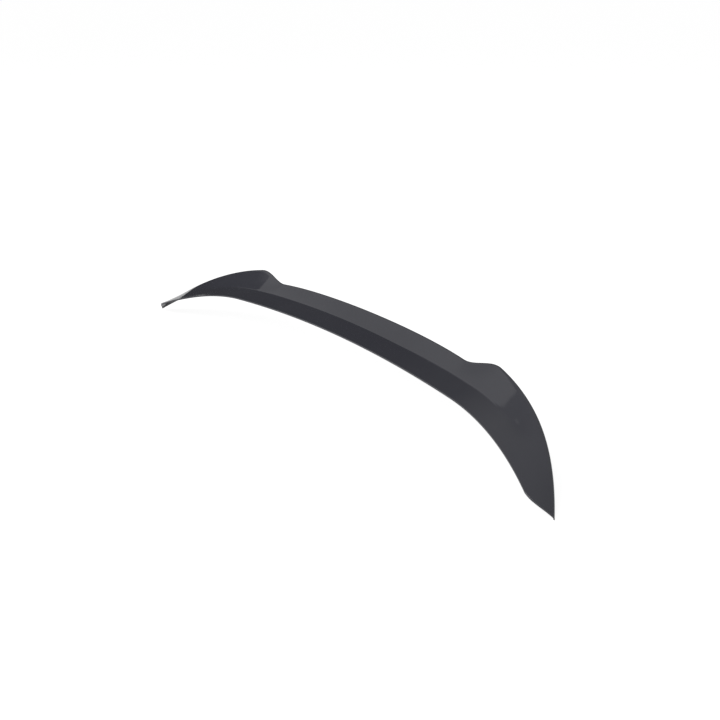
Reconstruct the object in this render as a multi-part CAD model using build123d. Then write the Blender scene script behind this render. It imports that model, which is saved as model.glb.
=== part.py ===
"""Rear spoiler cap for a car: one formed plastic sheet, open underneath.

Millimetres. +X runs to the car's left-hand side, +Y to its rear, +Z up. The origin is at the middle
of the leading edge, on the underside. The cap is the same on both sides of the plane at x = 0.
"""
import os

from build123d import *

# Sheet, and the outside radius of its fold at the trailing edge
wall = 3.0
fold_radius = 3.6

# Section at the middle of the span, measured from the origin
crease_back = 43.0
crease_up = 10.0
trail_back = 77.0
trail_up = 30.5

# One long arc that the leading edge, the crease and the trailing edge all follow out to the tips
half_span = 560.0
arc_bow = 36.0
arc_crown = 40.0

# Wings: how far each line sweeps forward and drops below the long arc by the time it is at the tip
shoulder = 305.0
lead_sweep = 48.0
lead_drop = 43.5
crease_sweep = 65.5
crease_drop = 42.0
trail_sweep = 104.0
trail_drop = 100.0
trail_power = 5

# Ears: the step up in the trailing edge where each wing begins
ear_start = 254.0
ear_length = 82.0
ear_back = 12.5
ear_rise = 24.5

# Crease: rounding each side of its line, tight along the middle and opening out along the wings, but
# never over more than this share of the upper band
crease_round = 2.5
crease_fade = 22.0
crease_share = 0.8

# Crease run-out: where it starts to leave its own line, and how far across the wing it ends at the tip
runout_start = 400.0
runout_share = 0.57

# Return: the sheet folded down behind the trailing edge, as straight depth below the fold
return_middle = 16.0
return_tip = 1.0

# Trim: the cut across each wing, from a rounded leading corner, bulging a little ahead, to the tip
corner_inboard = 37.0
corner_radius = 45.0
corner_clear = 0.5
cut_bulge = 3.5

# Section planes: an even step along the span, run past the tips so that the end cuts go right through
station_step = 40.0
overrun = 6.0


def blend(share):
    """Smooth step from 0 to 1."""
    share = min(max(share, 0.0), 1.0)
    return share * share * (3 - 2 * share)


def long_arc(x):
    """Set-forward and fall of the long arc at x."""
    share = (x / half_span) ** 2
    return Vector(arc_bow * share, arc_crown * share)


def wing(x):
    """How far along its wing a line is at x: 0 up to the shoulder, 1 at the tip."""
    return max(abs(x) - shoulder, 0.0) / (half_span - shoulder)


def lead_line(x):
    """Leading edge on the underside, as (y, z)."""
    return Vector(0, 0) - long_arc(x) - Vector(lead_sweep, lead_drop) * wing(x) ** 2


def trail_line(x):
    """Trailing edge, as (y, z) before the fold is rounded."""
    ear = blend((abs(x) - ear_start) / ear_length)
    wing_end = (abs(x) / half_span) ** trail_power
    middle = Vector(trail_back, trail_up) - long_arc(x)
    return middle + Vector(ear_back, ear_rise) * ear - Vector(trail_sweep, trail_drop) * wing_end


def crease_line(x):
    """Crease between the front band and the upper band, as (y, z) before it is rounded.

    Towards the tip it runs out onto the straight line from the leading edge to the trailing edge.
    """
    own = Vector(crease_back, crease_up) - long_arc(x) - Vector(crease_sweep, crease_drop) * wing(x) ** 2
    front_edge = lead_line(x) + Vector(0, wall)
    flat = front_edge + (trail_line(x) - front_edge) * runout_share
    return own + (flat - own) * blend((abs(x) - runout_start) / (half_span - runout_start))


def left_of(direction):
    """Unit vector a quarter turn to the left of a direction: the outside of the sheet."""
    return Vector(-direction.Y, direction.X)


def corner_offset(first, second):
    """From a corner offset inward by 1 back to the corner, for two sides with these outward normals."""
    return (first + second) * (1 / (1 + first.dot(second)))


def section(x):
    """The sheet's closed outline in the plane at x."""
    foot, crease, trail = lead_line(x), crease_line(x), trail_line(x)
    front_edge = foot + Vector(0, wall)
    front = crease - front_edge
    upper = trail - crease
    along_front, along_upper, down = front.normalized(), upper.normalized(), Vector(0, -1)
    off_front, off_upper, off_return = left_of(along_front), left_of(along_upper), left_of(down)

    # Fold at the trailing edge: rounded outside, with a sharp corner inside
    mitre = corner_offset(off_upper, off_return)
    centre = trail - mitre * fold_radius
    fold = [centre + side * fold_radius for side in (off_upper, mitre.normalized(), off_return)]
    inner_fold = trail - mitre * wall

    # Crease: the same rounding on both faces of the sheet
    fold_run = (trail - fold[0]).length
    reach = min(crease_round + crease_fade * wing(x) ** 2, crease_share * (upper.length - fold_run))
    before = crease - along_front * reach
    after = crease + along_upper * reach
    inner_crease = crease - corner_offset(off_front, off_upper) * wall

    # Return: vertical, and shallower towards the tip
    depth = return_tip + (return_middle - return_tip) * (1 - (abs(x) / half_span) ** trail_power)
    return_foot = fold[-1] + down * depth

    with BuildSketch(Plane(origin=(x, 0, 0), x_dir=(0, 1, 0), z_dir=(1, 0, 0))) as outline:
        with BuildLine():
            Line(foot, front_edge)
            Line(front_edge, before)
            Bezier(before, crease, after)
            Line(after, fold[0])
            ThreePointArc(fold)
            Polyline(fold[-1], return_foot, return_foot - off_return * wall, inner_fold)
            Line(inner_fold, after - off_upper * wall)
            Bezier(after - off_upper * wall, inner_crease, before - off_front * wall)
            Line(before - off_front * wall, foot)
        make_face()
    return outline.sketch


def stations():
    """Section planes from one end to the other, evenly spaced, so that the loft runs smoothly."""
    reach = half_span + overrun
    count = round(2 * reach / station_step)
    return [reach * (2 * index / count - 1) for index in range(count + 1)]


def end_waste(side):
    """What the end cut takes off on one side: all that lies ahead of the cut and its rounded corner.

    The cut's arc goes on past the tip by a quarter turn, so that its corner can have a larger radius.
    """
    corner_x = half_span - corner_inboard
    inboard_x = corner_x - corner_radius / 2
    start = Vector(side * inboard_x, lead_line(inboard_x).X - corner_clear)
    corner = Vector(side * corner_x, lead_line(corner_x).X)
    tip = Vector(side * half_span, trail_line(half_span).X)
    ahead = left_of((tip - corner).normalized()) * -side
    middle = (corner + tip) * 0.5 + ahead * cut_bulge
    reach = 2 * corner_inboard
    with BuildSketch() as waste:
        with BuildLine():
            Line(start, corner)
            to_tip = ThreePointArc(corner, middle, tip, mode=Mode.PRIVATE)
            cut = JernArc(corner, to_tip % 0, to_tip.radius, side * 90)
            Polyline(cut @ 1, cut @ 1 + ahead * reach, start + ahead * reach, start)
        make_face()
        fillet(waste.vertices().sort_by_distance(corner)[0], corner_radius)
    return extrude(waste.sketch, half_span, both=True)


def spoiler_cap():
    """The formed sheet, with its two ends cut and their leading corners rounded."""
    sheet = loft([section(x) for x in stations()])
    for side in (-1, 1):
        sheet -= end_waste(side)
    return sheet


os.makedirs("parts", exist_ok=True)
cap = spoiler_cap()
cap.label = "spoiler_cap"
export_step(cap, "parts/spoiler_cap.step")
print("spoiler_cap", "volume", round(cap.volume), "box", cap.bounding_box())
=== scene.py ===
# %% [markdown]
# # A gloss black rear spoiler cap
#
# The object is one sheet of black plastic, about 3 mm thick, that was heated, drawn into a mould and
# trimmed. It is bonded over the rear edge of a car's own roof spoiler or tailgate. We load the packed
# CAD part first, because it fixes every size, and keep its box, on whose lowest point the floor is laid.

# %% Load the frame
import math
from collections import namedtuple

import bmesh
import bpy
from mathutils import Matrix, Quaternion, Vector


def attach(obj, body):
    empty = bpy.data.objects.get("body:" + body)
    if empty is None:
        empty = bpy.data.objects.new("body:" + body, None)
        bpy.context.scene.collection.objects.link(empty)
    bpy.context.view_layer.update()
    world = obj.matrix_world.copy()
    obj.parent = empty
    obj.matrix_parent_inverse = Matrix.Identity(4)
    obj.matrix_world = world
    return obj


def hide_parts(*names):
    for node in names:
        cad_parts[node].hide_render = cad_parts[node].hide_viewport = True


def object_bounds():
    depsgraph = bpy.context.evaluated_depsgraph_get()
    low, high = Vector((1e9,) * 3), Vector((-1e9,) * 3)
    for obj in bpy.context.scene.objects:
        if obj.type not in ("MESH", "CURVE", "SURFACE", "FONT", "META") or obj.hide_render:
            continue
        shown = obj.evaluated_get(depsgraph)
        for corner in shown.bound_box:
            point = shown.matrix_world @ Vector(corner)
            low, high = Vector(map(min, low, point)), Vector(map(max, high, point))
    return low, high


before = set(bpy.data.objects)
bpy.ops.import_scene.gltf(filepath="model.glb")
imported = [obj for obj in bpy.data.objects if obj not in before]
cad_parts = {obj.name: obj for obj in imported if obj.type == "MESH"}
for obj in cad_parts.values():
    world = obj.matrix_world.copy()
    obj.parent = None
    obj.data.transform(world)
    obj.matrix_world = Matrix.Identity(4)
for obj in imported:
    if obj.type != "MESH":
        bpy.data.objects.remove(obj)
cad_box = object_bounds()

MM = 0.001


def in_mm(box):
    """The two corners of a box in millimetres, rounded for printing."""
    return [[round(value / MM, 1) for value in corner] for corner in box]


print("CAD box in mm:", in_mm(cad_box))

# %% [markdown]
# ## The camera
#
# The cap is seen from the front, on its left-hand side and a little from above. A camera is best set
# before anything is modelled, because every shape is then judged from the right place. A 50 mm lens on a
# 36 mm sensor gives the mild perspective of a product photo, in which the near wing is clearly larger
# than the far one.

# %% Set the camera
camera_place = Vector((1.3182, -0.9490, 0.5797))
camera_looks = Vector((-0.7422, 0.5653, -0.3600))
focal_length, sensor_width, sight_end = 50.0, 36.0, 100.0

lens = bpy.data.cameras.new("camera")
lens.lens = focal_length
lens.sensor_width = sensor_width
lens.clip_end = sight_end
camera = bpy.data.objects.new("camera", lens)
camera.location = camera_place
camera.rotation_mode = "QUATERNION"
camera.rotation_quaternion = camera_looks.to_track_quat("-Z", "Y")
bpy.context.collection.objects.link(camera)
bpy.context.scene.camera = camera
print("camera stands", round(camera_place.length, 2), "m from the middle of the leading edge")

# %% [markdown]
# ## The lines that carry the shape
#
# Three long lines give the cap its form: the leading edge that is bonded to the car, the trailing edge,
# and the crease between them. They could be drawn by hand as curves, but then nothing would keep them in
# step. Here each is a short formula in millimetres, with the sizes of the CAD part: one long arc for all
# three, a sweep along the wings, and a smooth step up into the ear.

# %% Leading edge and trailing edge
wall = 3.0
half_span = 560.0
arc_bow, arc_crown = 36.0, 40.0
shoulder = 305.0
lead_sweep, lead_drop = 48.0, 43.5
trail_back, trail_up = 77.0, 30.5
trail_sweep, trail_drop, trail_power = 104.0, 100.0, 5
ear_start, ear_length, ear_back, ear_rise = 254.0, 82.0, 12.5, 24.5


def blend(share):
    """Smooth step from 0 to 1."""
    share = min(max(share, 0.0), 1.0)
    return share * share * (3 - 2 * share)


def long_arc(x):
    """Set-forward and fall of the long arc at x."""
    return Vector((arc_bow, arc_crown)) * (x / half_span) ** 2


def wing(x):
    """How far along its wing a line is at x: 0 up to the shoulder, 1 at the tip."""
    return max(abs(x) - shoulder, 0.0) / (half_span - shoulder)


def lead_line(x):
    """Leading edge on the underside, as (y, z)."""
    return -long_arc(x) - Vector((lead_sweep, lead_drop)) * wing(x) ** 2


def trail_line(x):
    """Trailing edge, as (y, z) before the fold is rounded."""
    ear = blend((abs(x) - ear_start) / ear_length)
    wing_end = (abs(x) / half_span) ** trail_power
    bar_edge = Vector((trail_back, trail_up)) - long_arc(x)
    return bar_edge + Vector((ear_back, ear_rise)) * ear - Vector((trail_sweep, trail_drop)) * wing_end


for spot, x in (("middle", 0.0), ("ear", ear_start + ear_length), ("tip", half_span)):
    print(spot, "is", round((trail_line(x) - lead_line(x)).x, 1), "mm from front to back")

# %% [markdown]
# ## The crease
#
# The crease is where the low front band turns up into the steeper upper band. On the real cap it is crisp
# along the bar and melts away in the wings. One formula does both: the crease keeps its own line as far
# as the wings, and from there it is led over onto the straight line from front to back, where nothing is
# left of it.

# %% Crease line
crease_back, crease_up = 43.0, 10.0
crease_sweep, crease_drop = 65.5, 42.0
runout_start, runout_share = 400.0, 0.57


def runout(x):
    """How flat the section has become at x: 0 along the bar, 1 at the tip."""
    return blend((abs(x) - runout_start) / (half_span - runout_start))


def crease_line(x):
    """Crease between the front band and the upper band, as (y, z) before it is rounded."""
    own = Vector((crease_back, crease_up)) - long_arc(x)
    own -= Vector((crease_sweep, crease_drop)) * wing(x) ** 2
    front_edge = lead_line(x) + Vector((0, wall))
    flat = front_edge.lerp(trail_line(x), runout_share)
    return own.lerp(flat, runout(x))


print("crease lies", round(crease_line(0).x, 1), "mm behind the leading edge at the middle")

# %% [markdown]
# ## A section through the sheet
#
# A plane across the span cuts the sheet in a thin band of even thickness: a front band, a rounded crease,
# an upper band, a fold over the trailing edge and a short return that hangs down behind it. A Solidify
# modifier could thicken a single surface, but it would round neither the fold nor the edge as the real
# sheet does. So both faces are worked out here, each as a path of five points, with the fold kept as an
# arc about one centre. The upper band is slightly hollow, by a millimetre or so, and flattens out in the
# wings. One hardly sees that, but it decides where a reflection ends.

# %% Section at one place along the span
fold_radius = 3.6
crease_round, crease_fade, crease_share = 2.5, 22.0, 0.8
hollow_radius = 150.0
return_middle, return_tip = 16.0, 1.0

Section = namedtuple("Section", "outside inside hollow fold_centre fold_angle return_depth")


def left_of(direction):
    """Unit vector a quarter turn to the left of a direction: the outside of the sheet."""
    return Vector((-direction.y, direction.x))


def corner_offset(first, second):
    """From a corner offset inward by 1 back to the corner, for two sides with these outward normals."""
    return (first + second) / (1 + first.dot(second))


def section(x):
    """Both faces of the sheet in the plane at x, and the fold and the return that follow them."""
    foot, crease, trail = lead_line(x), crease_line(x), trail_line(x)
    front_edge = foot + Vector((0, wall))
    upper = trail - crease
    along_front, along_upper = (crease - front_edge).normalized(), upper.normalized()
    off_front, off_upper, off_return = left_of(along_front), left_of(along_upper), Vector((1, 0))

    # The hollow makes the upper band steeper where it goes into the fold
    hollow = (1 - runout(x)) / hollow_radius
    steepest = upper.y / upper.x + hollow * upper.x / 2
    off_end = left_of(Vector((1, steepest)).normalized())
    centre = trail - corner_offset(off_upper, off_return) * fold_radius
    fold_start = centre + off_end * fold_radius
    fold_run = (trail - fold_start).length
    reach = min(crease_round + crease_fade * wing(x) ** 2, crease_share * (upper.length - fold_run))
    before, after = crease - along_front * reach, crease + along_upper * reach

    outside = (front_edge, before, crease, after, fold_start)
    inner_crease = crease - corner_offset(off_front, off_upper) * wall
    inner_end = fold_start - off_end * wall
    inside = (foot, before - off_front * wall, inner_crease, after - off_upper * wall, inner_end)
    depth = return_tip + (return_middle - return_tip) * (1 - (abs(x) / half_span) ** trail_power)
    return Section(outside, inside, hollow, centre, math.atan2(off_end.y, off_end.x), depth)


mid_section = section(0.0)
mid_front, mid_before, mid_crease, mid_after, mid_fold = mid_section.outside
print("front band", round((mid_before - mid_front).length, 1), "mm,",
      "upper band", round((mid_fold - mid_after).length, 1), "mm,",
      "crease at", round(mid_crease.x, 1), "mm,",
      "return", mid_section.return_depth, "mm")

# %% [markdown]
# ## The trimmed front
#
# After forming, the sheet is trimmed. Seen from above, its front runs along the leading edge, round a
# large corner and back along a slightly bowed cut to the tip. A Boolean could cut the ends off, but it
# leaves long thin triangles that show as dents in gloss black. So the outline is written as a function of
# x, and the mesh is made to end on it.

# %% Front outline from above
corner_inboard, corner_radius, corner_clear, cut_bulge = 37.0, 45.0, 0.5, 3.5

corner_x = half_span - corner_inboard
inboard_x = corner_x - corner_radius / 2
corner = Vector((corner_x, lead_line(corner_x).x))
inboard = Vector((inboard_x, lead_line(inboard_x).x - corner_clear))
tip = Vector((half_span, trail_line(half_span).x))

half_chord = (tip - corner).length / 2
backward = left_of((tip - corner).normalized())
cut_radius = (half_chord ** 2 + cut_bulge ** 2) / (2 * cut_bulge)
cut_centre = (corner + tip) / 2 + backward * (cut_radius - cut_bulge)

# The corner's arc touches the line along the leading edge, and the cut's arc from inside
edge_way = (corner - inboard).normalized()
offset_start = inboard + left_of(edge_way) * corner_radius - cut_centre
along = offset_start.dot(edge_way)
apart = offset_start.length_squared - (cut_radius - corner_radius) ** 2
corner_centre = cut_centre + offset_start + edge_way * (math.sqrt(along ** 2 - apart) - along)
arc_from = corner_centre - left_of(edge_way) * corner_radius
arc_to = cut_centre + (corner_centre - cut_centre).normalized() * cut_radius


def front_outline(x):
    """How far forward the trimmed sheet reaches at x, as y."""
    x = abs(x)
    lead_y = lead_line(x).x
    if x < arc_from.x:
        return lead_y
    centre, radius = (corner_centre, corner_radius) if x < arc_to.x else (cut_centre, cut_radius)
    return max(lead_y, centre.y - math.sqrt(radius ** 2 - (x - centre.x) ** 2))


print("corner arc from x", round(arc_from.x, 1), "to", round(arc_to.x, 1), "mm,",
      "cut on to the tip at", half_span)

# %% [markdown]
# ## Rows along the sheet
#
# A gloss surface shows every uneven row, so the mesh is a regular grid. Its rows run along the span and
# follow the crease and the fold. They could be spread evenly over the width, but then the round of the
# crease would get hardly any. So each band has its own number of rows, and the crease has the closest.

# %% Rows of the grid
front_rows, crease_rows, upper_rows, fold_rows = 14, 8, 12, 8
band_rows = front_rows + crease_rows + upper_rows
row_count = band_rows + fold_rows + 2


def round_crease(t, before, crease, after):
    """One coordinate of the rounded crease, from t = 0 where it starts to t = 1 where it ends."""
    return (1 - t) ** 2 * before + 2 * t * (1 - t) * crease + t ** 2 * after


def face_height(path, hollow, y):
    """Height of one face at y: straight, then the rounded crease, then the hollow upper band."""
    start, before, crease, after, end = path
    if y <= before.x:
        return start.y + (before.y - start.y) * (y - start.x) / (before.x - start.x)
    share = blend((y - before.x) / (after.x - before.x))
    sag = share * hollow * (y - before.x) * (end.x - y) / 2
    if y >= after.x:
        return after.y + (end.y - after.y) * (y - after.x) / (end.x - after.x) - sag
    bend, run = before.x - 2 * crease.x + after.x, crease.x - before.x
    t = (y - before.x) / (run + math.sqrt(run ** 2 + bend * (y - before.x)))
    return round_crease(t, before.y, crease.y, after.y) - sag


def row_shares(path):
    """Where the rows lie across one face, as shares of its width: closer together on the crease."""
    start, before, crease, after, end = path
    rows = [start.x + (before.x - start.x) * step / front_rows for step in range(front_rows)]
    rows += [round_crease(step / crease_rows, before.x, crease.x, after.x) for step in range(crease_rows)]
    rows += [after.x + (end.x - after.x) * step / upper_rows for step in range(upper_rows + 1)]
    return [(row - start.x) / (end.x - start.x) for row in rows]


print(row_count, "rows on each face:", band_rows + 1, "across the two bands,",
      fold_rows, "round the fold and 1 at the foot of the return")

# %% [markdown]
# ## Points on a row
#
# In the wings each row keeps its share of the width, and stops exactly on the cut. The front row goes
# round the corner with the outline, and hands over to the end of the grid halfway along the corner, so
# that no square gets thin there. Round the fold the rows go by the angle about its centre.

# %% A point of one row
turn_x, slope_step = 530.0, 0.1
turn_slope = (front_outline(turn_x) - front_outline(turn_x - slope_step)) / slope_step


def front_row(x):
    """The front of the grid at x: the outline as far as the turn, then straight on."""
    past_turn = max(abs(x) - turn_x, 0.0)
    return front_outline(min(abs(x), turn_x)) + turn_slope * past_turn


def row_point(cut, inside, row, x, shares):
    """A point of one row at x, as (y, z), on the outside or the inside of a section."""
    path = cut.inside if inside else cut.outside
    if row <= band_rows:
        front = front_row(x)
        y = front + shares[row] * (path[-1].x - front)
        return Vector((y, face_height(path, cut.hollow, y)))
    radius = fold_radius - wall if inside else fold_radius
    angle = cut.fold_angle * (1 - min((row - band_rows) / fold_rows, 1.0))
    point = cut.fold_centre + Vector((math.cos(angle), math.sin(angle))) * radius
    if row == row_count - 1:
        point.y -= cut.return_depth
    return point


print("front row leaves the outline at x", turn_x, "with a slope of", round(turn_slope, 2))

# %% [markdown]
# ## Where each row ends
#
# The shares that the rows keep in the wings are read at one place, 140 mm from the tip. For every row we
# then look for the place where it meets the cut. There is no formula for that, but a search by halves
# finds it to a hair's breadth: keep the half of the stretch in which the row changes from behind the cut
# to ahead of it, and halve again.

# %% Search for the row ends
halvings = 40
hold_x = 420.0
held = section(hold_x)
held_shares = (row_shares(held.outside), row_shares(held.inside))


def row_end(inside, row):
    """The x at which a row meets the trimmed outline."""
    low, high = turn_x, half_span
    for _ in range(halvings):
        x = (low + high) / 2
        y = row_point(section(x), inside, row, x, held_shares[inside]).x
        if y > front_outline(x):
            low = x
        else:
            high = x
    return low


row_ends = [[row_end(inside, row) for row in range(row_count)] for inside in (0, 1)]
print("rows end between x", round(min(row_ends[0]), 1), "and", round(max(row_ends[0]), 1), "mm")

# %% [markdown]
# ## Columns across the sheet
#
# Now the grid gets its points: a column every 3 mm along the span, on the outside and on the inside. Along
# the bar all points of a column lie in one plane. In the wings each of them is drawn in by a little more
# or less, so that the last column lies exactly on the cut.

# %% Points of the grid
column_step = 3.0
column_count = 2 * round(half_span / column_step)


def column_x(share, inside, row):
    """The x of a row in the column at this share of the half span, from -1 to 1."""
    tail_from = hold_x / half_span
    tail = max((abs(share) - tail_from) / (1 - tail_from), 0.0) ** 2
    x = half_span * abs(share) - (half_span - row_ends[inside][row]) * tail
    return math.copysign(x, share)


def column(share):
    """All points of one column, outside first, in metres."""
    placed = []
    x = half_span * share
    straight = abs(x) <= hold_x
    here = section(x)
    for inside in (0, 1):
        path = here.inside if inside else here.outside
        shares = row_shares(path) if straight else held_shares[inside]
        for row in range(row_count):
            if not straight:
                x = column_x(share, inside, row)
                here = section(x)
            y, z = row_point(here, inside, row, x, shares)
            placed.append(Vector((x, y, z)) * MM)
    return placed


points = []
for col in range(column_count + 1):
    points += column(2 * col / column_count - 1)
print(column_count + 1, "columns of", 2 * row_count, "points")

# %% [markdown]
# ## The sheet as a mesh
#
# The grid is filled with faces, and four strips close it: along the leading edge, along the foot of the
# return and at the two ends. The result is one watertight skin, as the real sheet is one piece. The faces
# are sorted as they are made: outside, inside and trimmed edge, because the three have different finishes.

# %% Build the cap
OUTSIDE, INSIDE, EDGE = 0, 1, 2


def at(col, inside, row):
    """Index of a point in the mesh."""
    return (2 * col + inside) * row_count + row


faces, finishes = [], []
for col in range(column_count):
    for inside in (0, 1):
        for row in range(row_count - 1):
            faces.append((at(col, inside, row), at(col + 1, inside, row),
                          at(col + 1, inside, row + 1), at(col, inside, row + 1)))
            finishes.append(INSIDE if inside else OUTSIDE)
    for row in (0, row_count - 1):
        faces.append((at(col, 0, row), at(col + 1, 0, row), at(col + 1, 1, row), at(col, 1, row)))
        finishes.append(EDGE)
for col in (0, column_count):
    for row in range(row_count - 1):
        faces.append((at(col, 0, row), at(col, 0, row + 1), at(col, 1, row + 1), at(col, 1, row)))
        finishes.append(EDGE)

skin = bpy.data.meshes.new("spoiler_cap_skin")
skin.from_pydata(points, [], faces)
skin.polygons.foreach_set("material_index", finishes)
skin.polygons.foreach_set("use_smooth", [True] * len(faces))
grid = bmesh.new()
grid.from_mesh(skin)
bmesh.ops.recalc_face_normals(grid, faces=grid.faces)
open_edges = sum(not line.is_manifold for line in grid.edges)
grid.to_mesh(skin)
grid.free()
cap = bpy.data.objects.new("spoiler_cap_skin", skin)
bpy.context.collection.objects.link(cap)
print("cap has", len(skin.vertices), "points and", len(skin.polygons), "faces,", open_edges, "open edges")

# %% [markdown]
# ## Eased edges
#
# A trimmed sheet is never knife-sharp: its edges are wiped with a scraper, and the small round catches a
# thread of light. A Bevel modifier that goes by the angle between faces finds just these edges, and
# leaves the crease and the fold alone. Hardened normals keep the broad faces flat up to the round.

# %% Ease the edges
ease, ease_segments, ease_above = 0.5, 3, math.radians(40)

bevel = cap.modifiers.new("eased_edges", "BEVEL")
bevel.width = ease * MM
bevel.segments = ease_segments
bevel.limit_method = "ANGLE"
bevel.angle_limit = ease_above
bevel.use_clamp_overlap = False
bevel.harden_normals = True

eased = bpy.data.meshes.new_from_object(cap.evaluated_get(bpy.context.evaluated_depsgraph_get()))
cap.modifiers.clear()
cap.data = eased
eased.name = "spoiler_cap_eased"
print("eased cap has", sum(len(face.vertices) - 2 for face in eased.polygons), "triangles")

# %% [markdown]
# ## A helper for the finishes
#
# All three finishes are the same black plastic, so they share one small builder: a Principled shader
# whose colour and roughness wander a little with noise. The noise reads the object's own coordinates in
# metres, so a scale of 500 means grains of about 2 mm, and nothing slides when the camera moves. Noise
# hardly ever comes near 0 or 1, so its middle part is spread over the whole range that is asked for.

# %% Builder for black plastic
plastic_ior = 1.53
noise_detail, noise_low, noise_high = 3.0, 0.3, 0.7


def add_node(material, kind, **inputs):
    """A new shader node, with its numbers set by the names of its sockets."""
    made = material.node_tree.nodes.new(kind)
    for name, value in inputs.items():
        made.inputs[name.replace("_", " ")].default_value = value
    return made


def noise_range(material, coordinates, scale, low=0.0, high=1.0):
    """Noise of a scale per metre, spread from low to high."""
    join = material.node_tree.links.new
    noise = add_node(material, "ShaderNodeTexNoise", Scale=scale, Detail=noise_detail)
    spread = add_node(material, "ShaderNodeMapRange", From_Min=noise_low, From_Max=noise_high,
                      To_Min=low, To_Max=high)
    join(coordinates, noise.inputs["Vector"])
    join(noise.outputs["Fac"], spread.inputs["Value"])
    return spread.outputs["Result"]


def black_plastic(name, tones, tone_scale, roughness, rough_scale):
    """A black plastic whose colour and roughness each wander between two values."""
    material = bpy.data.materials.new(name)
    material.use_nodes = True
    join = material.node_tree.links.new
    shader = material.node_tree.nodes["Principled BSDF"]
    shader.inputs["IOR"].default_value = plastic_ior
    place = add_node(material, "ShaderNodeTexCoord").outputs["Object"]
    tone = add_node(material, "ShaderNodeMix")
    tone.data_type = "RGBA"
    dark, light = [socket for socket in tone.inputs if socket.type == "RGBA"]
    dark.default_value, light.default_value = (*tones[0], 1), (*tones[1], 1)
    join(noise_range(material, place, tone_scale), tone.inputs["Factor"])
    mixed = [socket for socket in tone.outputs if socket.type == "RGBA"][0]
    join(mixed, shader.inputs["Base Color"])
    join(noise_range(material, place, rough_scale, *roughness), shader.inputs["Roughness"])
    print(name, "roughness", roughness)
    return material, shader, place


straight_on = ((plastic_ior - 1) / (plastic_ior + 1)) ** 2
print("the plastic mirrors", round(100 * straight_on, 1), "% of the light that meets it straight on")

# %% [markdown]
# ## Gloss black outside
#
# The outside is bright, smooth black with a trace of blue. It comes from a polished mould, yet it is
# never a perfect mirror: the sheet keeps a slow waviness from cooling and a trace of orange peel, and a
# haze of handling makes its gloss uneven. All of it is far too shallow to model, so it is a bump of a few
# hundredths of a millimetre, a much finer one on top, and a slow change of roughness.

# %% Gloss finish
gloss_tones = ((0.034, 0.0345, 0.043), (0.039, 0.0395, 0.048))
waviness_scale, waviness_depth = 22.0, 0.04
peel_scale, peel_depth = 480.0, 0.0006


def relief(material, shader, heights):
    """Bumps on top of each other: each is a height output and its depth in millimetres."""
    join = material.node_tree.links.new
    normal = None
    for output, depth in heights:
        bump = add_node(material, "ShaderNodeBump", Strength=1.0, Distance=depth * MM)
        join(output, bump.inputs["Height"])
        if normal:
            join(normal, bump.inputs["Normal"])
        normal = bump.outputs["Normal"]
    join(normal, shader.inputs["Normal"])


gloss, gloss_shader, gloss_place = black_plastic(
    "gloss_black_outside", gloss_tones, tone_scale=7.0, roughness=(0.03, 0.07), rough_scale=11.0)
waviness = noise_range(gloss, gloss_place, waviness_scale)
orange_peel = noise_range(gloss, gloss_place, peel_scale)
relief(gloss, gloss_shader, [(waviness, waviness_depth), (orange_peel, peel_depth)])

# %% [markdown]
# ## Satin underside
#
# The inner face never touched the polished mould. It is duller, and it carries a fine pebbled grain. A
# Voronoi pattern gives rounded pebbles, about a millimetre across, which a plain noise would not.

# %% Underside finish
satin_tones = ((0.030, 0.030, 0.034), (0.040, 0.040, 0.045))
pebble_scale, pebble_depth = 900.0, 0.008

satin, satin_shader, satin_place = black_plastic(
    "satin_black_underside", satin_tones, tone_scale=30.0, roughness=(0.14, 0.22), rough_scale=60.0)
pebbles = add_node(satin, "ShaderNodeTexVoronoi", Scale=pebble_scale)
satin.node_tree.links.new(satin_place, pebbles.inputs["Vector"])
relief(satin, satin_shader, [(pebbles.outputs["Distance"], pebble_depth)])

# %% [markdown]
# ## Trimmed edges
#
# Where the cutter went through, the plastic is greyer and scuffed, with fine marks straight across the
# sheet. A fine noise that is stretched in height draws such marks.

# %% Edge finish
scuffed_tones = ((0.036, 0.036, 0.040), (0.056, 0.055, 0.058))
mark_scale, mark_stretch, mark_depth = 1500.0, 20, 0.004

scuffed, scuffed_shader, scuffed_place = black_plastic(
    "scuffed_black_edge", scuffed_tones, tone_scale=400.0, roughness=(0.16, 0.26), rough_scale=150.0)
stretch = add_node(scuffed, "ShaderNodeMapping", Scale=(1.0, 1.0, 1 / mark_stretch))
scuffed.node_tree.links.new(scuffed_place, stretch.inputs["Vector"])
cutter_marks = noise_range(scuffed, stretch.outputs["Vector"], mark_scale)
relief(scuffed, scuffed_shader, [(cutter_marks, mark_depth)])

# %% [markdown]
# ## Fit the cap to the frame
#
# The dressed cap takes the place of the plain CAD part and moves with its only body. Its faces already
# know which finish they take, so the three materials only have to be added in the same order.

# %% Dress the cap and tie it to the CAD part
eased.materials.clear()
for finish in (gloss, satin, scuffed):
    eased.materials.append(finish)
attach(cap, "root")
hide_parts("spoiler_cap")
print("finishes:", [slot.material.name for slot in cap.material_slots])

# %% [markdown]
# ## The floor
#
# The cap stands on the points of its two wings, on a wide white floor. A plane would do for a view from
# above. This floor is a large disc with a low wall round it, as in a studio's cove, so that low views
# have no horizon in them either.

# %% Make the floor
floor_radius, floor_wall, floor_segments = 45.0, 4.5, 96

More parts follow.
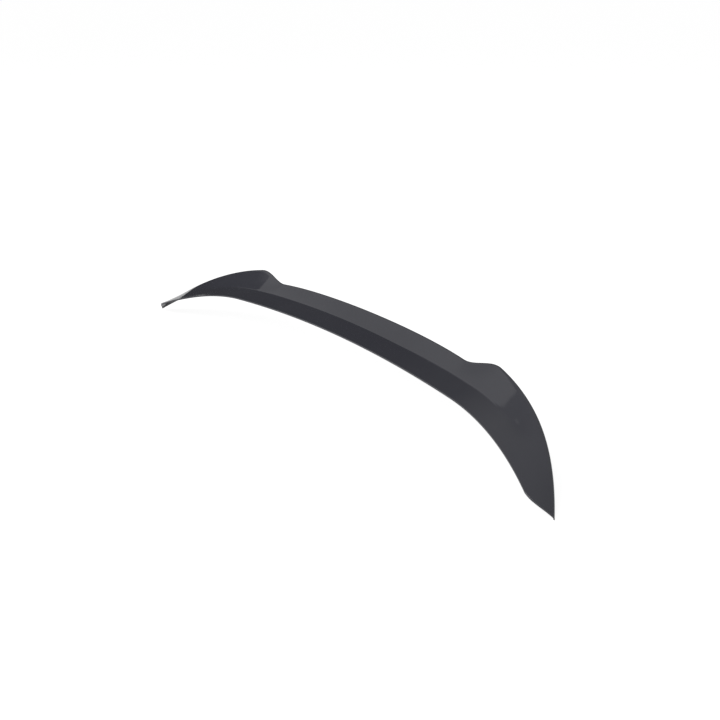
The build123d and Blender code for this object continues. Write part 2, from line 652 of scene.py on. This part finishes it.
disc = bmesh.new()
bmesh.ops.create_circle(disc, cap_ends=True, segments=floor_segments, radius=floor_radius)
raised = bmesh.ops.extrude_edge_only(disc, edges=list(disc.edges))["geom"]
rim = [part for part in raised if isinstance(part, bmesh.types.BMVert)]
bmesh.ops.translate(disc, verts=rim, vec=(0, 0, floor_wall))
floor_mesh = bpy.data.meshes.new("floor")
disc.to_mesh(floor_mesh)
disc.free()
floor = bpy.data.objects.new("floor", floor_mesh)
floor.location.z = cad_box[0].z
bpy.context.collection.objects.link(floor)
print("floor lies at", round(floor.location.z / MM, 1), "mm")

# %% [markdown]
# ## The floor's white
#
# A floor that is white by the studio's light alone would need more light than is good for the cap. So for
# the camera, and for what shines, most of its white is its own light, as on a lit table, and the rest is
# lit by the studio and so keeps the cap's soft shadow. To all other rays it is plain white.

# %% White floor
floor_white, floor_tint, floor_glow = 0.9, 0.25, 0.9


def grey(level):
    """A colour with as much red as green and blue."""
    return (level, level, level, 1)


white = bpy.data.materials.new("white_floor")
white.use_nodes = True
white.node_tree.nodes.clear()
join_floor = white.node_tree.links.new
ray = add_node(white, "ShaderNodeLightPath")
seen = ray.outputs["Is Camera Ray"]
for kind in ("Is Glossy Ray", "Is Transmission Ray"):
    either = add_node(white, "ShaderNodeMath")
    either.operation = "MAXIMUM"
    join_floor(seen, either.inputs[0])
    join_floor(ray.outputs[kind], either.inputs[1])
    seen = either.outputs["Value"]
plain = add_node(white, "ShaderNodeBsdfDiffuse", Color=grey(floor_white))
tint = add_node(white, "ShaderNodeBsdfDiffuse", Color=grey(floor_tint))
glow = add_node(white, "ShaderNodeEmission", Color=grey(1), Strength=floor_glow)
lit = add_node(white, "ShaderNodeAddShader")
join_floor(tint.outputs["BSDF"], lit.inputs[0])
join_floor(glow.outputs["Emission"], lit.inputs[1])
surface = add_node(white, "ShaderNodeMixShader")
join_floor(seen, surface.inputs["Fac"])
join_floor(plain.outputs["BSDF"], surface.inputs[1])
join_floor(lit.outputs["Shader"], surface.inputs[2])
out = add_node(white, "ShaderNodeOutputMaterial")
join_floor(surface.outputs["Shader"], out.inputs["Surface"])
floor_mesh.materials.append(white)
print("floor glows at", floor_glow, "and scatters", floor_tint, "of the studio's light")

# %% [markdown]
# ## The studio
#
# Gloss black shows almost nothing of its own colour: what one sees is the room in it. Such a part is
# photographed in a light tent with one dark side, so that the low front band has something dark to show.
# The world is that tent. Its strength depends only on the direction: dim around one point on the horizon
# beyond the cap's far wing, and a soft, even grey elsewhere.

# %% Light tent with a dark side
dark_side = Vector((-0.975, 0.219, -0.025)).normalized()
dark_level, light_level = 0.036, 0.43
dark_to, light_from = math.radians(40.5), math.radians(64.5)

tent = bpy.data.worlds.new("tent")
tent.use_nodes = True
bpy.context.scene.world = tent
join_tent = tent.node_tree.links.new
backdrop = tent.node_tree.nodes["Background"]
backdrop.inputs["Color"].default_value = grey(1)
sight = add_node(tent, "ShaderNodeTexCoord")
nearness = add_node(tent, "ShaderNodeVectorMath")
nearness.operation = "DOT_PRODUCT"
nearness.inputs[1].default_value = dark_side
away = add_node(tent, "ShaderNodeMath")
away.operation = "ARCCOSINE"
strength = add_node(tent, "ShaderNodeMapRange", From_Min=dark_to, From_Max=light_from,
                    To_Min=dark_level, To_Max=light_level)
strength.interpolation_type = "SMOOTHSTEP"
join_tent(sight.outputs["Generated"], nearness.inputs[0])
join_tent(nearness.outputs["Value"], away.inputs[0])
join_tent(away.outputs["Value"], strength.inputs["Value"])
join_tent(strength.outputs["Result"], backdrop.inputs["Strength"])
print("tent is", dark_level, "on its dark side and", light_level, "elsewhere")

# %% [markdown]
# ## The softbox and the fill
#
# The upper band is lighter than the front band, and its light ends in a slanted line at each ear: that is
# the mirror image of one oblong softbox, which hangs askew above the far wing. An area lamp is made for
# this. Its size and place come from where its edges show on the cap, and its power from how bright it
# should look there. A second, larger one high in front of the cap fills the rest, so that the black has
# its own colour. No broad face mirrors that one towards the camera.

# %% Hang the softbox and the fill
softbox_place = Vector((-0.531, 0.163, 0.728))
softbox_looks = Vector((0.652, 0.719, -0.241))
fill_place = Vector((0.0, -2.25, 2.65))


def hang_softbox(name, place, looks, roll, wide, tall, level):
    """An area lamp that looks as bright as its level where it is mirrored."""
    lamp = bpy.data.lights.new(name, "AREA")
    lamp.shape = "RECTANGLE"
    lamp.size, lamp.size_y = wide, tall
    lamp.energy = level * math.pi * wide * tall
    softbox = bpy.data.objects.new(name, lamp)
    softbox.location = place
    softbox.rotation_mode = "QUATERNION"
    turned = Quaternion((0, 0, 1), math.radians(roll))
    softbox.rotation_quaternion = looks.to_track_quat("-Z", "Y") @ turned
    bpy.context.collection.objects.link(softbox)
    print(name, "gives", round(lamp.energy, 2), "W")


hang_softbox("softbox", softbox_place, softbox_looks, roll=37.4, wide=0.69, tall=1.053, level=0.47)
hang_softbox("fill", fill_place, -fill_place, roll=0.0, wide=2.4, tall=2.4, level=5.0)

# %% [markdown]
# ## Picture settings
#
# The Standard view shows colours as they are written. The two should differ by less than a
# millimetre, most of it at the eased tips.

# %% Measure and finish
bpy.context.scene.view_settings.view_transform = "Standard"
